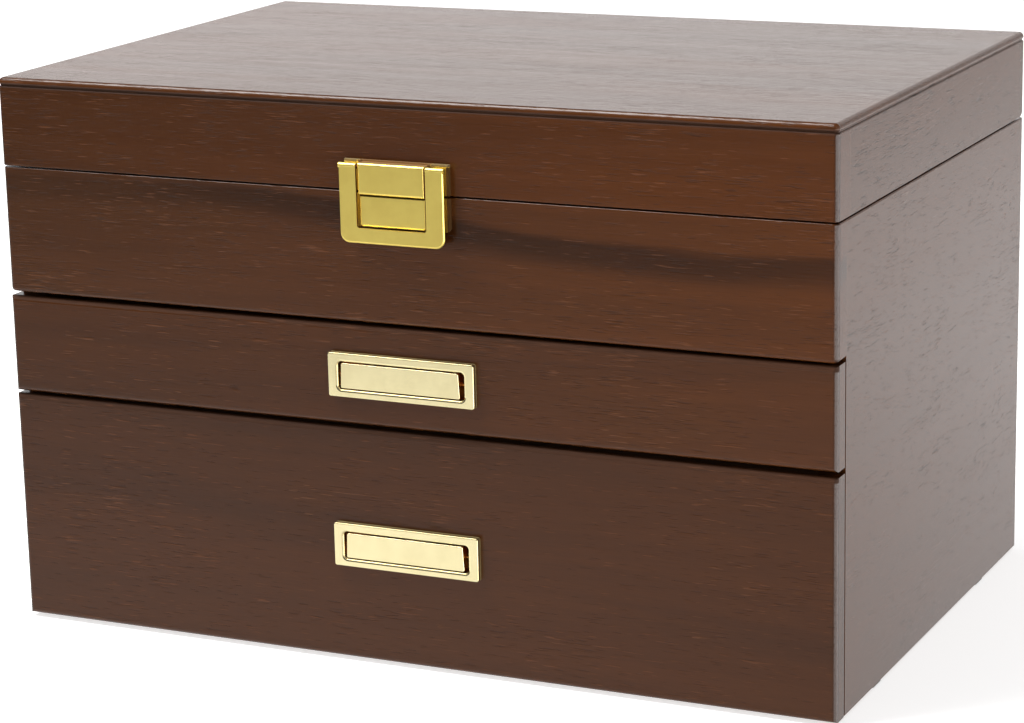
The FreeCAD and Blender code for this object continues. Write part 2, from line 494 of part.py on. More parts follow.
ihw1, f1 = drawer("upper", Z_D1_BOT, Z_D1_TOP, D1_BOX_Z0, D1_BOX_Z1, PULL_Z1, D1_RISE)
ihw2, f2 = drawer("lower", Z_D2_BOT, Z_D2_TOP, D2_BOX_Z0, D2_BOX_Z1, PULL_Z2)
div1 = []
for sx in (-1, 1):
    d = box(sx * 45.0 - 1.5, sx * 45.0 + 1.5, BOX_Y0 + LINING_T, BOX_Y1 - BOX_T - LINING_T, f1, f1 + 20.0)
    d = fillet(d, 1.2, lambda x0, x1, y0, y1, a, b: near(a, f1 + 20.0) and near(b, a) and y1 - y0 > 50)
    div1.append(d)
save("upper_drawer_dividers", div1)
print("YF %.3f YB %.3f" % (YF, YB))
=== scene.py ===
import math
import random

import bmesh
import bpy
from mathutils import Matrix, Vector


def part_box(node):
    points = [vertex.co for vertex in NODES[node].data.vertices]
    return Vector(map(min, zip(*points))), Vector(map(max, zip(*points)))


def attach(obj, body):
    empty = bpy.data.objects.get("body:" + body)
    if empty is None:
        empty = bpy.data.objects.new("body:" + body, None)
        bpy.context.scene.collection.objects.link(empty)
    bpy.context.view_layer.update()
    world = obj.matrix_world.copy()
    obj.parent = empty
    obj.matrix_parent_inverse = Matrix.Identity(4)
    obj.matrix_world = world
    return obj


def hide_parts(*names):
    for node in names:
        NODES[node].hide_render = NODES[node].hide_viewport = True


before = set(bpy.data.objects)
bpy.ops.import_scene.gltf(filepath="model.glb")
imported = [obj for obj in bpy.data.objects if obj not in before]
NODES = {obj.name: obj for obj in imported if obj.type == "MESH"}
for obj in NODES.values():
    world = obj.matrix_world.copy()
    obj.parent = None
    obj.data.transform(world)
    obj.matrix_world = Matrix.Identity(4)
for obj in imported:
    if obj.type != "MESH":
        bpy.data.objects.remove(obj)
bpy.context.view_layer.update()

scene = bpy.context.scene
random.seed(7)

# ---------------------------------------------------------------- node helpers


class Tree:
    """Short names for building a node tree."""

    def __init__(self, tree):
        self.t = tree

    def add(self, kind, **settings):
        n = self.t.nodes.new(kind)
        for k, v in settings.items():
            setattr(n, k, v)
        return n

    def put(self, socket, value):
        if isinstance(value, bpy.types.NodeSocket):
            self.t.links.new(value, socket)
        elif value is not None:
            socket.default_value = value

    def math(self, op, a, b=None, c=None, clamp=False):
        n = self.add("ShaderNodeMath", operation=op, use_clamp=clamp)
        self.put(n.inputs[0], a)
        self.put(n.inputs[1], b)
        self.put(n.inputs[2], c)
        return n.outputs[0]

    def vec(self, op, a, b=None):
        n = self.add("ShaderNodeVectorMath", operation=op)
        self.put(n.inputs[0], a)
        self.put(n.inputs[1], b)
        return n.outputs[0]

    def noise(self, vector, detail=2.0, rough=0.5, distortion=0.0, lac=2.0):
        n = self.add("ShaderNodeTexNoise", noise_dimensions="3D")
        self.put(n.inputs["Vector"], vector)
        n.inputs["Scale"].default_value = 1.0
        n.inputs["Detail"].default_value = detail
        n.inputs["Roughness"].default_value = rough
        n.inputs["Lacunarity"].default_value = lac
        n.inputs["Distortion"].default_value = distortion
        return n.outputs["Fac"]

    def span(self, value, a, b, lo=0.0, hi=1.0, smooth=True):
        """value taken from a..b to lo..hi, clamped."""
        n = self.add(
            "ShaderNodeMapRange",
            interpolation_type="SMOOTHSTEP" if smooth else "LINEAR",
            clamp=True,
        )
        self.put(n.inputs["Value"], value)
        for name, v in (("From Min", a), ("From Max", b), ("To Min", lo), ("To Max", hi)):
            n.inputs[name].default_value = v
        return n.outputs["Result"]

    def mix(self, fac, a, b, blend="MIX"):
        n = self.add("ShaderNodeMix", data_type="RGBA", blend_type=blend)
        self.put(n.inputs["Factor"], fac)
        self.put(n.inputs["A"], a)
        self.put(n.inputs["B"], b)
        return n.outputs["Result"]

    def ramp(self, fac, stops, interpolation="LINEAR"):
        n = self.add("ShaderNodeValToRGB")
        n.color_ramp.interpolation = interpolation
        e = n.color_ramp.elements
        while len(e) > 1:
            e.remove(e[-1])
        e[0].position, e[0].color = stops[0][0], stops[0][1]
        for p, c in stops[1:]:
            s = e.new(p)
            s.color = c
        self.put(n.inputs[0], fac)
        return n.outputs[0]

    def bump(self, height, strength, distance, normal=None):
        n = self.add("ShaderNodeBump")
        n.inputs["Strength"].default_value = strength
        n.inputs["Distance"].default_value = distance
        self.put(n.inputs["Height"], height)
        if normal is not None:
            self.put(n.inputs["Normal"], normal)
        return n.outputs[0]


def rgb(r, g, b):
    return (r, g, b, 1.0)


def grey(v):
    return (v, v, v, 1.0)


def material(name, **sockets):
    """A Principled material; constants go straight on its own sockets."""
    m = bpy.data.materials.new(name)
    m.use_nodes = True
    t = Tree(m.node_tree)
    m.node_tree.nodes.clear()
    out = t.add("ShaderNodeOutputMaterial")
    p = t.add("ShaderNodeBsdfPrincipled")
    t.t.links.new(p.outputs[0], out.inputs["Surface"])
    for k, v in sockets.items():
        p.inputs[k.replace("_", " ")].default_value = v
    coords = t.add("ShaderNodeTexCoord").outputs["Object"]
    return m, t, p, coords


def grain_coords(t, coords, along, seed):
    """Metres turned so that the first axis runs with the grain, and moved so that each board differs."""
    s = t.add("ShaderNodeSeparateXYZ")
    t.put(s.inputs[0], coords)
    c = t.add("ShaderNodeCombineXYZ")
    order = {"X": (0, 1, 2), "Y": (1, 0, 2), "Z": (2, 0, 1)}[along]
    for i, j in enumerate(order):
        t.put(c.inputs[i], s.outputs[j])
    moved = t.vec("ADD", c.outputs[0], (0.37 * seed, 0.11 * seed, 0.23 * seed))
    return moved, s


# ---------------------------------------------------------------- wood

Y_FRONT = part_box("lid_front_rail")[0][1]
X_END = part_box("lid_front_rail")[1][0]

def walnut(
    name,
    along,
    seed,
    warm=0.0,
    light=1.0,
    figure=1.0,
    pores=1.0,
    pore_dark=0.40,
    streak=None,
    joint=None,
    shade_x=None,
    rough=0.20,
    bump=1.0,
    emboss=0.0,
    sparse=0.0,
    groove_shade=None,
    nap=0.55,
    corner_shade=False,
):
    """Stained walnut veneer under a satin lacquer. Scales are per metre."""
    m, t, p, coords = material(name, IOR=1.36)
    g, s = grain_coords(t, coords, along, seed)

    # a slow wander, so that no line of the figure is straight
    wob = t.noise(t.vec("MULTIPLY", g, (5.0, 14.0, 14.0)), 2.0, 0.5)
    wander = t.math("MULTIPLY", t.math("SUBTRACT", wob, 0.5), 0.012)
    off = t.add("ShaderNodeCombineXYZ")
    t.put(off.inputs[1], wander)
    t.put(off.inputs[2], wander)
    gw = t.vec("ADD", g, off.outputs[0])

    broad = t.noise(t.vec("MULTIPLY", gw, (2.6, 38.0, 38.0)), 3.0, 0.55, 0.4)
    band = t.noise(t.vec("MULTIPLY", gw, (6.0, 190.0, 190.0)), 4.0, 0.6, 0.2)
    fibre = t.noise(t.vec("MULTIPLY", g, (75.0, 2300.0, 2300.0)), 3.0, 0.6)
    cluster = t.noise(t.vec("MULTIPLY", gw, (16.0, 60.0, 60.0)), 2.0, 0.6)
    tilt = t.add("ShaderNodeVectorRotate", rotation_type="Z_AXIS" if along != "Z" else "Y_AXIS")
    t.put(tilt.inputs["Vector"], g)
    tilt.inputs["Angle"].default_value = 0.025
    gt = tilt.outputs[0]
    pore_n = t.noise(t.vec("MULTIPLY", gt, (125.0, 2300.0, 2300.0)), 1.0, 0.45)
    level = t.math(
        "ADD", pore_n, t.math("MULTIPLY", t.math("SUBTRACT", cluster, 0.5), 0.30)
    )
    pore = t.span(level, 0.63 + sparse, 0.72 + sparse)
    ray_n = t.noise(
        t.vec("MULTIPLY", t.vec("ADD", gt, (0.5, 0.5, 0.5)), (120.0, 2200.0, 2200.0)),
        1.0,
        0.4,
    )
    ray = t.span(
        t.math("ADD", ray_n, t.math("MULTIPLY", t.math("SUBTRACT", cluster, 0.5), 0.25)),
        0.66,
        0.75,
    )

    red = rgb(0.104 + 0.006 * warm, 0.0305 + 0.001 * warm, 0.0054)
    dark = rgb(0.050, 0.0180, 0.0060)
    pale = rgb(0.165 + 0.01 * warm, 0.062, 0.026)
    col = t.mix(t.span(broad, 0.34, 0.62), dark, red)
    col = t.mix(0.42 * figure, red, col)
    lift = t.math(
        "ADD",
        t.math(
            "MULTIPLY", t.math("SUBTRACT", band, 0.5), 0.50 * figure
        ),
        t.math("MULTIPLY", t.math("SUBTRACT", fibre, 0.5), 0.42),
    )
    lift = t.math("ADD", lift, 1.0)
    # light scales the board's brightness: partly the wood's own darkness, partly painted light and shade, each face
    # made lighter or darker for how the light falls on it
    scale = t.add("ShaderNodeCombineXYZ")
    for i in range(3):
        t.put(scale.inputs[i], t.math("MULTIPLY", lift, light))
    col = t.mix(1.0, col, scale.outputs[0], "MULTIPLY")
    if shade_x is not None:  # painted light falloff along X: the board is darker at its left end, lighter and warmer towards the right, as the light falls
        x0, x1, c0, c1 = shade_x
        col = t.mix(
            1.0,
            col,
            t.mix(t.span(s.outputs[0], x0, x1, smooth=False), rgb(*c0), rgb(*c1)),
            "MULTIPLY",
        )
    if streak is not None:  # a dark vein: where it runs, and how dark it is, along X
        x = t.span(s.outputs[0], -0.15, 0.15, smooth=False)
        run = t.ramp(x, [((sx + 0.15) / 0.30, grey((sz - 0.140) / 0.025)) for sx, sz, _ in streak])
        deep = t.ramp(x, [((sx + 0.15) / 0.30, grey(sd)) for sx, _, sd in streak])
        d = t.math("SUBTRACT", s.outputs[2], t.math("MULTIPLY_ADD", run, 0.025, 0.140))
        d = t.math("ADD", d, t.math("MULTIPLY", t.math("SUBTRACT", band, 0.5), 0.0060))
        d = t.math("ADD", d, t.math("MULTIPLY", t.math("SUBTRACT", broad, 0.5), 0.0050))
        m1 = t.math(
            "MULTIPLY",
            t.span(d, 0.0012, 0.0042, 1.0, 0.0),
            t.span(d, -0.0095, -0.0015),
        )
        keep = t.math("SUBTRACT", 1.0, t.math("MULTIPLY", m1, deep))
        shade = t.add("ShaderNodeCombineXYZ")
        for i in range(3):
            t.put(shade.inputs[i], keep)
        col = t.mix(1.0, col, shade.outputs[0], "MULTIPLY")
    col = t.mix(
        t.math("MULTIPLY", pore, pore_dark * pores), col, rgb(0.022, 0.0075, 0.0020)
    )
    col = t.mix(t.math("MULTIPLY", ray, 0.30 * pores), col, pale)
    if joint is not None:  # the glue line where two sheets of veneer meet
        axis, at, width, amount = joint
        d = t.math("ABSOLUTE", t.math("SUBTRACT", s.outputs["XYZ".index(axis)], at))
        line = t.span(d, width * 0.4, width, 1.0, 0.0)
        col = t.mix(t.math("MULTIPLY", line, amount), col, rgb(0.20, 0.12, 0.075))
    shade_and_matt = None
    if groove_shade is not None:  # painted shade in the groove under the bead and on a board's top edge: the colour is darkened there, and the lacquer is also made rougher
        full, none, amount = groove_shade
        if full < none:
            shade_and_matt = t.span(s.outputs[2], full, none, 1.0, 0.0)
        else:
            shade_and_matt = t.span(s.outputs[2], none, full)
        shade_and_matt = t.math("MULTIPLY", shade_and_matt, t.span(s.outputs[1], Y_FRONT + 0.0010, Y_FRONT + 0.0026, 1.0, 0.0))
        col = t.mix(t.math("MULTIPLY", shade_and_matt, amount), col, rgb(0.020, 0.0070, 0.0020))
    if corner_shade:  # painted shade on the rounded end of a board: its colour is darkened there
        end = t.math(
            "MULTIPLY",
            t.span(t.math("ABSOLUTE", s.outputs[0]), X_END - 0.0016, X_END - 0.0006),
            t.span(s.outputs[1], Y_FRONT + 0.0013, Y_FRONT + 0.0026, 1.0, 0.0),
        )
        col = t.mix(end, col, rgb(0.034, 0.0110, 0.0030))
    t.put(p.inputs["Base Color"], col)

    gloss = t.math(
        "ADD",
        t.math("MULTIPLY", t.math("SUBTRACT", band, 0.5), 0.10),
        t.math("MULTIPLY_ADD", pore, 0.05, rough),
    )
    if shade_and_matt is not None:
        gloss = t.math("ADD", gloss, t.math("MULTIPLY", shade_and_matt, 0.6))
    t.put(p.inputs["Roughness"], gloss)
    height = t.math(
        "ADD",
        t.math("MULTIPLY", pore, -0.7),
        t.math(
            "ADD",
            t.math("MULTIPLY", ray, 0.35),
            t.math("MULTIPLY", t.math("SUBTRACT", fibre, 0.5), nap),
        ),
    )
    if emboss > 0.0:  # the open grain telegraphs through the lacquer as fine furrows
        furrow = t.noise(t.vec("MULTIPLY", t.vec("ADD", g, (0.9, 0.2, 0.4)), (230.0, 900.0, 900.0)), 3.0, 0.65)
        height = t.math("ADD", height, t.math("MULTIPLY", t.math("SUBTRACT", furrow, 0.5), emboss))
    t.put(p.inputs["Normal"], t.bump(height, 0.55 * bump, 0.00010))
    return m


def plain_wood(name, along, seed, colour=(0.42, 0.27, 0.15)):
    """The light, unstained wood of the drawer boxes, sanded and sealed."""
    m, t, p, coords = material(name, IOR=1.45)
    g, _ = grain_coords(t, coords, along, seed)
    ring = t.noise(t.vec("MULTIPLY", g, (3.0, 60.0, 60.0)), 3.0, 0.55, 0.8)
    lines = t.add("ShaderNodeTexWave", wave_type="BANDS", bands_direction="Y")
    t.put(lines.inputs["Vector"], t.vec("MULTIPLY", g, (0.06, 1.0, 1.0)))
    lines.inputs["Scale"].default_value = 46.0
    lines.inputs["Distortion"].default_value = 5.0
    lines.inputs["Detail"].default_value = 3.0
    lines.inputs["Detail Scale"].default_value = 1.2
    fibre = t.noise(t.vec("MULTIPLY", g, (60.0, 1900.0, 1900.0)), 3.0, 0.6)
    r, gg, b = colour
    col = t.mix(
        t.span(lines.outputs["Fac"], 0.2, 0.95),
        rgb(r, gg, b),
        rgb(r * 0.74, gg * 0.66, b * 0.58),
    )
    col = t.mix(
        t.span(ring, 0.35, 0.65), col, rgb(r * 0.86, gg * 0.80, b * 0.74)
    )
    grey = t.math("MULTIPLY_ADD", fibre, 0.5, 0.75)
    c = t.add("ShaderNodeCombineXYZ")
    for i in range(3):
        t.put(c.inputs[i], grey)
    t.put(p.inputs["Base Color"], t.mix(1.0, col, c.outputs[0], "MULTIPLY"))
    t.put(p.inputs["Roughness"], t.math("MULTIPLY_ADD", fibre, 0.2, 0.45))
    t.put(p.inputs["Normal"], t.bump(fibre, 0.4, 0.00008))
    return m


# ---------------------------------------------------------------- metals, glass, cloth


def gold(name, colour, rough, brush=0.5, tarnish=0.06, shade_and_reflection_boxes=()):
    """Plated brass: a lacquered face with a trace of brushing along X."""
    m, t, p, coords = material(name, Metallic=1.0, IOR=1.5)
    hair = t.noise(t.vec("MULTIPLY", coords, (220.0, 5200.0, 5200.0)), 2.0, 0.6)
    cloud = t.noise(t.vec("MULTIPLY", coords, (120.0, 120.0, 120.0)), 3.0, 0.6)
    r, g, b = colour
    col = t.mix(
        t.span(cloud, 0.35, 0.7),
        rgb(r, g, b),
        rgb(r * (1 - tarnish), g * (1 - 1.3 * tarnish), b * (1 - 1.8 * tarnish)),
    )
    gloss = t.math(
        "ADD",
        t.math("MULTIPLY", hair, 0.08 * brush),
        t.math("MULTIPLY_ADD", cloud, 0.05, rough - 0.03),
    )
    # painted shade and painted reflection in boxes: (x, y, z) from, (x, y, z) to, colour; each box is also made rougher
    sep = t.add("ShaderNodeSeparateXYZ")
    t.put(sep.inputs[0], coords)
    for lo, hi, shade in shade_and_reflection_boxes:
        inside = None
        for i in range(3):
            w = t.math(
                "MULTIPLY",
                t.span(sep.outputs[i], lo[i] - 0.0001, lo[i] + 0.0001),
                t.span(sep.outputs[i], hi[i] - 0.0001, hi[i] + 0.0001, 1.0, 0.0),
            )
            inside = w if inside is None else t.math("MULTIPLY", inside, w)
        col = t.mix(inside, col, rgb(*shade))
        gloss = t.math("ADD", gloss, t.math("MULTIPLY", inside, 0.25))
    t.put(p.inputs["Base Color"], col)
    t.put(p.inputs["Roughness"], gloss)
    t.put(p.inputs["Normal"], t.bump(hair, 0.10 * brush, 0.00003))
    return m


def velvet(name, colour, tip, weave=1.0):
    """A short nap: a dark root, a bright tip at grazing angles, and soft patches where it was brushed the other way."""
    m, t, p, coords = material(
        name,
        Roughness=0.85,
        Sheen_Weight=0.65,
        Sheen_Roughness=0.35,
        Specular_IOR_Level=0.15,
    )
    p.inputs["Sheen Tint"].default_value = rgb(*tip)
    nap = t.noise(t.vec("MULTIPLY", coords, (3200.0, 3200.0, 3200.0)), 2.0, 0.7)
    patch = t.noise(t.vec("MULTIPLY", coords, (34.0, 34.0, 34.0)), 3.0, 0.55, 0.6)
    r, g, b = colour
    col = t.mix(
        t.span(patch, 0.35, 0.65),
        rgb(r * 0.91, g * 0.90, b * 0.89),
        rgb(r * 1.04, g * 1.04, b * 1.03),
    )
    grey = t.math("MULTIPLY_ADD", nap, 0.7, 0.65)
    c = t.add("ShaderNodeCombineXYZ")
    for i in range(3):
        t.put(c.inputs[i], grey)
    t.put(p.inputs["Base Color"], t.mix(1.0, col, c.outputs[0], "MULTIPLY"))
    t.put(p.inputs["Normal"], t.bump(nap, 0.6 * weave, 0.00025))
    return m


def mirror_glass(name):
    m, t, p, coords = material(name, Metallic=1.0, IOR=1.5)
    haze = t.noise(t.vec("MULTIPLY", coords, (30.0, 30.0, 30.0)), 3.0, 0.6)
    t.put(
        p.inputs["Base Color"],
        t.mix(haze, rgb(0.86, 0.89, 0.88), rgb(0.90, 0.92, 0.91)),
    )
    t.put(p.inputs["Roughness"], t.math("MULTIPLY_ADD", haze, 0.02, 0.01))
    return m


def steel(name):
    m, t, p, coords = material(name, Metallic=1.0, IOR=1.5)
    turn = t.noise(t.vec("MULTIPLY", coords, (2500.0, 2500.0, 2500.0)), 2.0, 0.6)
    t.put(
        p.inputs["Base Color"],
        t.mix(turn, rgb(0.50, 0.49, 0.47), rgb(0.62, 0.61, 0.59)),
    )
    t.put(p.inputs["Roughness"], t.math("MULTIPLY_ADD", turn, 0.15, 0.24))
    t.put(p.inputs["Normal"], t.bump(turn, 0.2, 0.00003))
    return m


def rubber(name):
    m, t, p, coords = material(name, IOR=1.5)
    grit = t.noise(t.vec("MULTIPLY", coords, (2600.0, 2600.0, 2600.0)), 2.0, 0.6)
    t.put(
        p.inputs["Base Color"],
        t.mix(grit, rgb(0.012, 0.011, 0.010), rgb(0.022, 0.021, 0.020)),
    )
    t.put(p.inputs["Roughness"], t.math("MULTIPLY_ADD", grit, 0.15, 0.6))
    t.put(p.inputs["Normal"], t.bump(grit, 0.5, 0.0001))
    return m


def dress(mat, *names):
    for n in names:
        o = NODES[n]
        o.data.materials.clear()
        o.data.materials.append(mat)


Z_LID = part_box("lid_top_panel")[1][2]
HASP_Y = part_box("latch_hasp")[0][1]
PULL_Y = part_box("upper_pull_housing")[0][1]
PULL_ZS = [(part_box(n)[0][2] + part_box(n)[1][2]) / 2 for n in ("upper_pull_housing", "lower_pull_housing")]
VEIN = [
    (-0.150, 0.1565, 0.28),
    (-0.104, 0.1570, 0.32),
    (-0.075, 0.1580, 0.42),
    (-0.047, 0.1570, 0.50),
    (0.010, 0.1522, 0.55),
    (0.042, 0.1490, 0.55),
    (0.067, 0.1476, 0.55),
    (0.110, 0.1460, 0.54),
    (0.146, 0.1480, 0.48),
]
TOP_1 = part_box("upper_drawer_front")[1][2]
TOP_2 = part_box("lower_drawer_front")[1][2]
# painted shade in the groove under the front bead: where it is full, where it ends, how dark
UNDER_BEAD = (Z_LID - 0.0029, Z_LID - 0.0036, 0.55)
dress(
    walnut(
        "walnut_lid_front",
        "X",
        3,
        warm=0.5,
        light=0.63,
        corner_shade=True,
        figure=0.8,
        shade_x=(-0.15, 0.15, (0.66, 0.69, 0.74), (1.18, 1.13, 1.08)),
        groove_shade=UNDER_BEAD,
    ),
    "lid_front_rail",
)
dress(
    walnut(
        "walnut_case_rail",
        "X",
        5,
        warm=0.2,
        figure=0.8,
        corner_shade=True,
        streak=VEIN,
        shade_x=(-0.15, 0.15, (0.52, 0.54, 0.55), (0.73, 0.71, 0.69)),
    ),
    "upper_front_rail",
)
dress(
    # the drawer fronts get a faint painted shade and a rougher lacquer along their top edges
    walnut("walnut_upper_drawer", "X", 9, figure=0.8, light=0.70, corner_shade=True, groove_shade=(TOP_1 - 0.0015, TOP_1 - 0.0022, 0.10), shade_x=(-0.15, 0.15, (0.65, 0.66, 0.68), (0.94, 0.93, 0.92))),
    "upper_drawer_front",
)
dress(
    walnut("walnut_lower_drawer", "X", 14, figure=0.9, light=0.62, corner_shade=True, groove_shade=(TOP_2 - 0.0012, TOP_2 - 0.0019, 0.10), shade_x=(-0.15, 0.15, (0.75, 0.76, 0.77), (0.85, 0.85, 0.84))),
    "lower_drawer_front",
)
dress(
    walnut(
        "walnut_top",
        "X",
        21,
        figure=0.8,
        light=0.76,
        bump=0.9,
        emboss=2.0,
        # painted shade on the underside of the top panel's front bead
        groove_shade=(Z_LID - 0.0024, Z_LID - 0.0014, 0.75),
    ),
    "lid_top_panel",
)
dress(walnut("walnut_back", "X", 27, figure=1.1), "back_panel", "lid_back_rail")
dress(
    walnut("walnut_lid_side", "Y", 36, figure=0.5, pores=0.9, light=0.70, pore_dark=0.9, bump=2.2, nap=0.12, sparse=-0.01, joint=("Y", Y_FRONT + 0.0109, 0.00035, 0.30)),
    "lid_left_rail",
    "lid_right_rail",
)
dress(
    walnut("walnut_side", "Y", 38, figure=0.5, pores=0.8, light=0.68, pore_dark=0.9, bump=1.8, nap=0.12, sparse=0.035, joint=("Y", Y_FRONT + 0.0086, 0.00030, 0.22)),
    "side_panel_left",
    "side_panel_right",
)
dress(walnut("walnut_under", "X", 44, figure=1.0, rough=0.6), "bottom_panel")
dress(plain_wood("board_shelf", "X", 51, (0.085, 0.048, 0.028)), "drawer_shelf", "compartment_floor")
dress(
    plain_wood("drawer_sides_y", "Y", 57),
    "upper_drawer_side_left",
    "upper_drawer_side_right",
    "lower_drawer_side_left",
    "lower_drawer_side_right",
)
dress(
    plain_wood("drawer_boards_x", "X", 63),
    "upper_drawer_back",
    "lower_drawer_back",
    "upper_drawer_bottom",
    "lower_drawer_bottom",
)
dress(
    gold(
        "latch_plating",
        (1.0, 0.79, 0.205),
        0.38,
        brush=1.0,
        shade_and_reflection_boxes=[
            # painted shade in the slots left and right of the blocks
            ((-0.0120, HASP_Y + 0.0003, 0.1400), (-0.0107, HASP_Y + 0.0200, 0.1712), (0.22, 0.09, 0.03)),
            ((0.0127, HASP_Y + 0.0003, 0.1400), (0.0138, HASP_Y + 0.0200, 0.1712), (0.22, 0.09, 0.03)),
            # painted shade in the gap between the two blocks
            ((-0.0120, HASP_Y + 0.0006, 0.1606), (0.0138, HASP_Y + 0.0200, 0.16125), (0.10, 0.05, 0.02)),
            # painted reflection of the wooden lid on the top of the lid block
            ((-0.0120, HASP_Y + 0.0009, 0.1712), (0.0142, HASP_Y + 0.0200, 0.1800), (0.42, 0.26, 0.12)),
            # painted shade dulling the highlight on the tops of the plates
            ((-0.0300, HASP_Y + 0.0009, 0.1714), (-0.0122, HASP_Y + 0.0200, 0.1800), (0.44, 0.33, 0.165)),
            ((0.0144, HASP_Y + 0.0009, 0.1714), (0.0300, HASP_Y + 0.0200, 0.1800), (0.44, 0.33, 0.165)),
            # the shadowed flank of the plates on the right of the hasp
            ((0.0192, HASP_Y + 0.0016, 0.1300), (0.0300, HASP_Y + 0.0200, 0.1712), (0.24, 0.13, 0.05)),
        ],
    ),
    "latch_hasp",
    "latch_lid_plate",
    "latch_catch_plate",
    "latch_lid_nails",
    "latch_catch_nails",
    "latch_pin",
)
dress(
    gold(
        "pull_plating",
        (0.88, 0.775, 0.45),
        0.13,
        brush=0.4,
        tarnish=0.03,
        shade_and_reflection_boxes=[
            # painted reflection: the cup's inner walls orange, standing in for warm light bounced between gold and wood
            ((-0.10, PULL_Y + 0.0014, 0.0), (0.10, PULL_Y + 0.03, 0.2), (0.85, 0.40, 0.10)),
            *[
                ((x0, y0, z + z0), (x1, y1, z + z1), c)
                for z in PULL_ZS
                for x0, x1, y0, y1, z0, z1, c in (
                    # painted shade dulling the highlight on the rolled lip of the opening: foot and left side
                    (-0.0238, 0.0250, PULL_Y + 0.00008, PULL_Y + 0.0014, -0.0060, -0.0046, (0.50, 0.40, 0.20)),
                    (-0.0238, -0.0215, PULL_Y + 0.00008, PULL_Y + 0.0014, -0.0046, 0.0060, (0.60, 0.48, 0.24)),
                    # painted shade dulling the highlight on the outer edges of the frame
                    (-0.0300, 0.0300, PULL_Y + 0.00005, PULL_Y + 0.0030, 0.0069, 0.0090, (0.45, 0.36, 0.18)),
                    (0.0270, 0.0300, PULL_Y + 0.00010, PULL_Y + 0.0030, -0.0090, 0.0069, (0.55, 0.44, 0.22)),
                )
            ],
        ],
    ),
    "upper_pull_housing",
    "lower_pull_housing",
    "upper_pull_flap",
    "lower_pull_flap",
    "upper_pull_pin",
    "lower_pull_pin",
)
dress(
    gold("hinge_plating", (0.80, 0.62, 0.30), 0.28, brush=1.0),
    "hinge_case_leaves",
    "hinge_lid_leaves",
    "hinge_pins",
)
dress(
    steel("screw_steel"),
    "hinge_case_screws",
    "hinge_lid_screws",
    "upper_pull_screws",
    "lower_pull_screws",
)
dress(
    velvet("lining_velvet", (0.30, 0.25, 0.20), (0.9, 0.82, 0.72)),
    "compartment_lining",
    "compartment_dividers",
    "lid_lining",
    "upper_drawer_lining",
    "upper_drawer_dividers",
    "lower_drawer_lining",
    "ring_rolls",
)
dress(mirror_glass("mirror_silver"), "lid_mirror")
dress(
    walnut("walnut_trim", "X", 71, figure=0.6),
    "lid_mirror_trim",
)
dress(rubber("foot_rubber"), "foot_pads")

# ---------------------------------------------------------------- ring rolls


def loose_parts(bm):
    """The vertex groups of a mesh that aren't joined to each other, in order along Y."""
    seen, parts = set(), []
    for v in bm.verts:
        if v in seen:
            continue
        seen.add(v)
        stack, part = [v], []
        while stack:
            w = stack.pop()
            part.append(w)
            for e in w.link_edges:
                o = e.other_vert(w)
                if o not in seen:
                    seen.add(o)
                    stack.append(o)
        parts.append(part)
    return sorted(parts, key=lambda q: sum(w.co.y for w in q) / len(q))


def bake(obj):
    """The mesh with its modifiers applied, and no modifier left."""
    deps = bpy.context.evaluated_depsgraph_get()
    mesh = bpy.data.meshes.new_from_object(obj.evaluated_get(deps))
    obj.modifiers.clear()
    obj.data = mesh
    return obj


def swell(obj, voxel, pressure, cap, frames=20):
    """A stuffed form: remeshed, blown up by the cloth solver, and held to cap metres of movement."""
    m = obj.modifiers.new("grid", "REMESH")
    m.mode, m.voxel_size = "VOXEL", voxel
    bake(obj)
    start = [v.co.copy() for v in obj.data.vertices]
    c = obj.modifiers.new("cloth", "CLOTH")
    s = c.settings
    s.quality, s.mass = 5, 0.25
    s.tension_stiffness = s.compression_stiffness = s.shear_stiffness = 12.0
    s.bending_stiffness = 0.6
    s.use_pressure, s.uniform_pressure_force = True, pressure
    s.effector_weights.gravity = 0.0
    c.collision_settings.use_collision = False
    c.point_cache.frame_start, c.point_cache.frame_end = 1, frames
    for f in range(1, frames + 1):
        scene.frame_set(f)
    bake(obj)
    scene.frame_set(1)
    for v, a in zip(obj.data.vertices, start):
        d = v.co - a
        if d.length > cap:
            v.co = a + d.normalized() * cap
    return obj


roll_velvet = velvet("roll_velvet", (0.32, 0.27, 0.215), (0.92, 0.85, 0.76))
roll_lo, roll_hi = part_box("ring_rolls")
roll_bm = bmesh.new()
roll_bm.from_mesh(NODES["ring_rolls"].data)
bmesh.ops.remove_doubles(roll_bm, verts=roll_bm.verts, dist=1e-6)
ROLL_R = 0.0092
roll_parts = loose_parts(roll_bm)
centres = [
    (min(v.co.y for v in q) + max(v.co.y for v in q)) / 2 for q in roll_parts
]
roll_bm.free()
ROLL_Z = roll_hi[2] - ROLL_R  # the axis
ROLL_X = (roll_hi[0] - roll_lo[0]) / 2


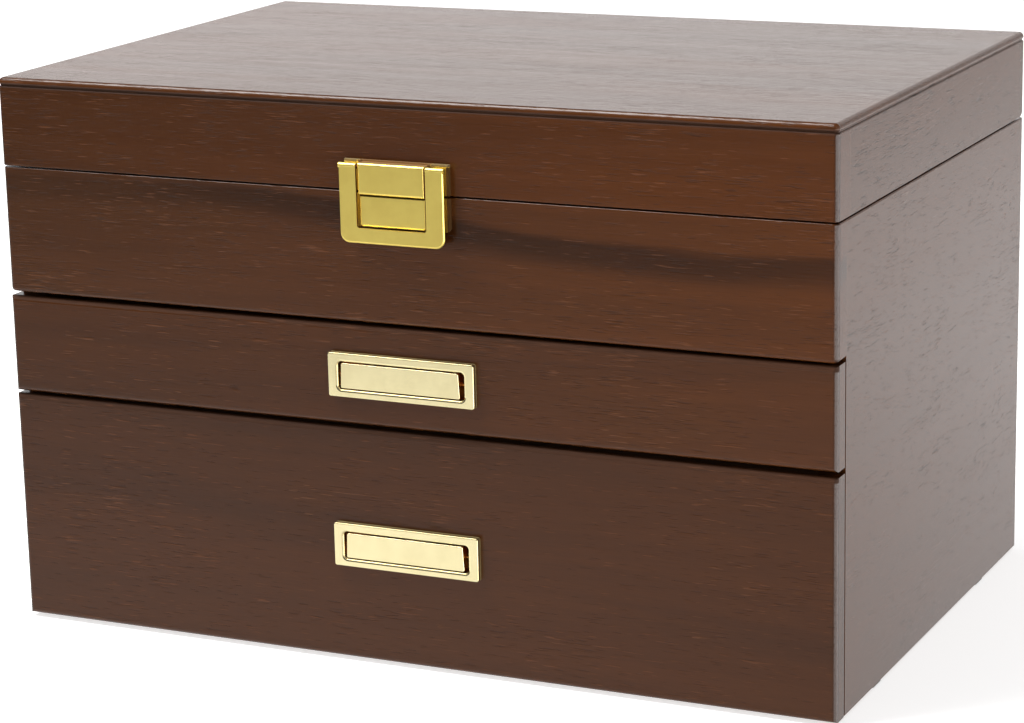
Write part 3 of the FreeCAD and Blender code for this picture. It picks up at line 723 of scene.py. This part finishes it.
def blank_roll():
    """A slightly small roll on the axis X, flat underneath, its ends a little rounded."""
    bm = bmesh.new()
    rings = []
    n = 40
    for x, r in (
        (-ROLL_X + 0.0006, 0.0072),
        (-ROLL_X + 0.0014, 0.0083),
        (-0.05, 0.0086),
        (0.0, 0.0087),
        (0.05, 0.0086),
        (ROLL_X - 0.0014, 0.0083),
        (ROLL_X - 0.0006, 0.0072),
    ):
        ring = []
        for k in range(n):
            a = 2 * math.pi * k / n
            z = max(r * math.sin(a), roll_lo[2] - ROLL_Z + 0.0003)
            ring.append(bm.verts.new((x, r * math.cos(a), z)))
        rings.append(ring)
    for a, b in zip(rings, rings[1:]):
        for k in range(n):
            bm.faces.new((a[k], a[(k + 1) % n], b[(k + 1) % n], b[k]))
    bm.faces.new(list(reversed(rings[0])))
    bm.faces.new(rings[-1])
    bmesh.ops.recalc_face_normals(bm, faces=bm.faces)
    mesh = bpy.data.meshes.new("roll_blank")
    bm.to_mesh(mesh)
    bm.free()
    o = bpy.data.objects.new("roll_blank", mesh)
    scene.collection.objects.link(o)
    return o


blank = blank_roll()
swell(blank, 0.0016, 4.0, 0.0007)
master = blank.data
master.materials.clear()
master.materials.append(roll_velvet)
bpy.data.objects.remove(blank)


def roll_piece(i, yc):
    """One stuffed roll: the master with its own slight lumps, a sewn line round each end, and a seam along its back foot."""
    rng = random.Random(100 + i)
    lumps = [
        (rng.uniform(-0.06, 0.06), rng.uniform(0.010, 0.022), rng.uniform(-1, 1), rng.uniform(0, 6.28))
        for _ in range(7)
    ]
    mesh = master.copy()
    for v in mesh.vertices:
        x, y, z = v.co
        rad = math.hypot(y, z) or 1e-9
        ang = math.atan2(z, y)
        k = 0.0
        for lx, lw, amp, ph in lumps:
            k += amp * math.exp(-(((x - lx) / lw) ** 2)) * (0.5 + 0.5 * math.cos(ang - ph))
        rad2 = rad * (1.0 + 0.018 * k)
        # the sewn line: the cover is drawn in 2 mm from each end
        e = abs(abs(x) - (ROLL_X - 0.0021))
        rad2 -= 0.00055 * math.exp(-((e / 0.00055) ** 2)) * min(1.0, rad / 0.006)
        # the long seam, low on the back
        a = abs((ang - math.radians(-32) + math.pi) % (2 * math.pi) - math.pi) * rad
        if abs(x) < ROLL_X - 0.002:
            rad2 -= 0.0004 * math.exp(-((a / 0.0005) ** 2))
        y2, z2 = math.cos(ang) * rad2, math.sin(ang) * rad2
        y2 = max(-ROLL_R, min(ROLL_R, y2))
        z2 = max(roll_lo[2] - ROLL_Z + 0.00005, min(ROLL_R - 0.00005, z2))
        x2 = max(-ROLL_X + 0.0001, min(ROLL_X - 0.0001, x))
        v.co = (x2 + (roll_lo[0] + roll_hi[0]) / 2, y2 + yc, z2 + ROLL_Z)
    o = bpy.data.objects.new("ring_roll_%d" % (i + 1), mesh)
    scene.collection.objects.link(o)
    sub = o.modifiers.new("smooth", "SUBSURF")
    sub.levels = sub.render_levels = 1
    bake(o)
    for f in o.data.polygons:
        f.use_smooth = True
    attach(o, "case")
    return o


for i, yc in enumerate(centres):
    roll = roll_piece(i, yc)
    if i == 0:
        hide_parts("ring_rolls")

# ---------------------------------------------------------------- stage, light, camera

floor_mesh = bpy.data.meshes.new("floor")
bm = bmesh.new()
bmesh.ops.create_grid(bm, x_segments=8, y_segments=8, size=30.0)
bm.to_mesh(floor_mesh)
bm.free()
floor = bpy.data.objects.new("floor", floor_mesh)
scene.collection.objects.link(floor)
fm, ft, fp, fc = material("floor_paper", Roughness=0.9, Specular_IOR_Level=0.1)
fleck = ft.noise(ft.vec("MULTIPLY", fc, (40.0, 40.0, 40.0)), 2.0, 0.5)
ft.put(
    fp.inputs["Base Color"],
    ft.mix(fleck, rgb(0.86, 0.86, 0.86), rgb(0.88, 0.88, 0.88)),
)
fp.inputs["Emission Color"].default_value = rgb(1, 1, 1)
fp.inputs["Emission Strength"].default_value = 0.68
floor_mesh.materials.append(fm)
floor.visible_glossy = False

world = bpy.data.worlds.new("studio")
scene.world = world
world.use_nodes = True
wt = Tree(world.node_tree)
world.node_tree.nodes.clear()
wout = wt.add("ShaderNodeOutputWorld")
wbg = wt.add("ShaderNodeBackground")
wt.t.links.new(wbg.outputs[0], wout.inputs[0])
wdir = wt.add("ShaderNodeTexCoord").outputs["Generated"]
wsep = wt.add("ShaderNodeSeparateXYZ")
wt.put(wsep.inputs[0], wdir)
wz = wt.math("MULTIPLY_ADD", wsep.outputs[2], 0.5, 0.5)


def at(z):
    return z * 0.5 + 0.5


# a dim room in front with the white table below it, brighter towards the left
front = wt.ramp(
    wz,
    [
        (0.0, grey(1.0)),
        (at(-0.29), grey(1.06)),
        (at(-0.255), grey(1.12)),
        (at(-0.222), grey(0.48)),
        (at(-0.185), grey(0.03)),
        (at(-0.10), grey(0.02)),
        (at(0.12), grey(0.09)),
        (at(0.40), grey(0.40)),
        (1.0, grey(0.40)),
    ],
)
lean = wt.span(wsep.outputs[0], -0.56, -0.32, 1.06, 0.70, smooth=False)
front = wt.mix(1.0, front, wt.mix(lean, grey(0.0), grey(1.0)), "MULTIPLY")
# the white sweep behind, up to about 28 degrees, and the dim ceiling above it
back = wt.ramp(
    wz,
    [
        (0.0, grey(0.55)),
        (at(-0.34), grey(0.62)),
        (at(-0.29), grey(0.72)),
        (at(-0.24), grey(0.95)),
        (at(-0.12), grey(0.76)),
        (at(0.0), grey(0.70)),
        (at(0.45), grey(0.68)),
        (at(0.51), grey(0.10)),
        (at(0.70), grey(0.06)),
        (1.0, grey(0.10)),
    ],
)
# on the right the sweep is lit only near the table
back_right = wt.ramp(
    wz,
    [
        (0.0, grey(0.55)),
        (at(-0.34), grey(0.62)),
        (at(-0.29), grey(0.72)),
        (at(-0.24), grey(0.92)),
        (at(-0.19), grey(0.84)),
        (at(-0.14), grey(0.34)),
        (at(0.05), grey(0.22)),
        (at(0.45), grey(0.22)),
        (at(0.52), grey(0.10)),
        (1.0, grey(0.10)),
    ],
)
back = wt.mix(wt.span(wsep.outputs[0], 0.10, 0.42), back, back_right)
wy = wt.span(wsep.outputs[1], 0.05, 0.50)
colour = wt.mix(wy, front, back)
# bright paper on the right
wx = wt.span(wsep.outputs[0], 0.52, 0.74)
side = wt.ramp(wz, [(0.0, grey(0.60)), (at(-0.45), grey(0.80)), (at(-0.30), grey(1.0)), (at(-0.05), grey(1.0)), (at(0.10), grey(0.30)), (1.0, grey(0.15))])
colour = wt.mix(wx, colour, side)
gain = wt.math("ADD", wt.math("MULTIPLY_ADD", wt.math("MULTIPLY", wy, wt.math("SUBTRACT", 1.0, wx)), 0.35, 1.30), wt.math("MULTIPLY", wx, 1.3))
camera_ray = wt.add("ShaderNodeLightPath").outputs["Is Camera Ray"]
shown = wt.mix(camera_ray, colour, grey(0.96))
wt.put(wbg.inputs["Color"], shown)
wt.put(
    wbg.inputs["Strength"],
    wt.math(
        "ADD",
        wt.math("MULTIPLY", gain, wt.math("SUBTRACT", 1.0, camera_ray)),
        camera_ray,
    ),
)


def softbox(name, place, target, width, height, radiance, colour=(1, 1, 1)):
    d = bpy.data.lights.new(name, "AREA")
    d.shape = "RECTANGLE"
    d.size, d.size_y = width, height
    d.energy = radiance * math.pi * width * height
    d.color = colour
    o = bpy.data.objects.new(name, d)
    scene.collection.objects.link(o)
    o.location = place
    o.rotation_mode = "QUATERNION"
    o.rotation_quaternion = (Vector(target) - Vector(place)).to_track_quat("-Z", "Y")
    return o


softbox("key_overhead", (-0.56, -0.36, 1.38), (-0.05, -0.02, 0.10), 0.70, 0.74, 17.0)
softbox("panel_right_front", (1.311, -0.654, -0.165), (0.0, 0.0, -0.165), 1.60, 0.77, 3.6)
softbox("paper_right", (1.33, 0.42, -0.28), (0.0, 0.0, -0.28), 0.95, 0.70, 3.3)

cam_data = bpy.data.cameras.new("camera")
cam_data.lens = 110.0504
cam_data.sensor_width = 36.0
cam_data.sensor_fit = "HORIZONTAL"
cam_data.clip_start, cam_data.clip_end = 0.05, 100.0
camera = bpy.data.objects.new("camera", cam_data)
scene.collection.objects.link(camera)
right = Vector((0.90640041, 0.42185415, -0.02187958))
up = Vector((-0.08433067, 0.23146130, 0.96918247))
forward = Vector((-0.41391745, 0.87662170, -0.24537235))
turn = Matrix((right, up, -forward)).transposed()
camera.matrix_world = Matrix.Translation((0.45461859, -0.97514253, 0.35489745)) @ turn.to_4x4()
scene.camera = camera

scene.view_settings.view_transform = "Standard"
scene.view_settings.look = "None"
scene.view_settings.exposure = 0.0
scene.view_settings.gamma = 1.0
